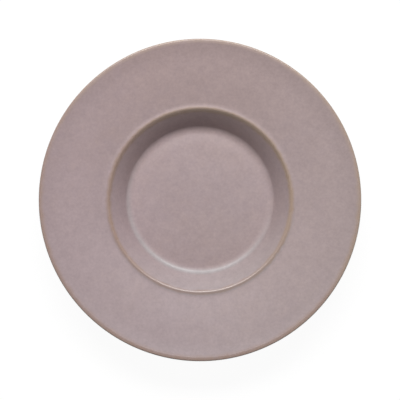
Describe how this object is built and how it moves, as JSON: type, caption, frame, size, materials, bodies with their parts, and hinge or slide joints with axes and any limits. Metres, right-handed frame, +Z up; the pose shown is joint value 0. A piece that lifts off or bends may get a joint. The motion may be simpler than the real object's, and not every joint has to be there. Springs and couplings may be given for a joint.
{
  "type": "saucer",
  "caption": "Round stoneware saucer with a wide sloping rim, a raised ridge round a deep cup well, a foot ring and a satin mauve glaze that leaves the clay bare on its edges.",
  "frame": {"origin": "on the saucer's axis, in the plane of the foot ring that it stands on", "axes": "+Z up along the axis of the saucer; it is round, so +X and +Y are free"},
  "size_m": [0.165, 0.165, 0.0236],
  "materials": {
    "bare_stoneware": "fired brown clay, bare and matt",
    "mauve_glaze": "satin matt mauve glaze with a fine mottle"
  },
  "bodies": {
    "root": {"stoneware_body": "bare_stoneware", "well_glaze": "mauve_glaze", "rim_glaze": "mauve_glaze", "underside_glaze": "mauve_glaze", "foot_recess_glaze": "mauve_glaze"}
  },
  "joints": []
}
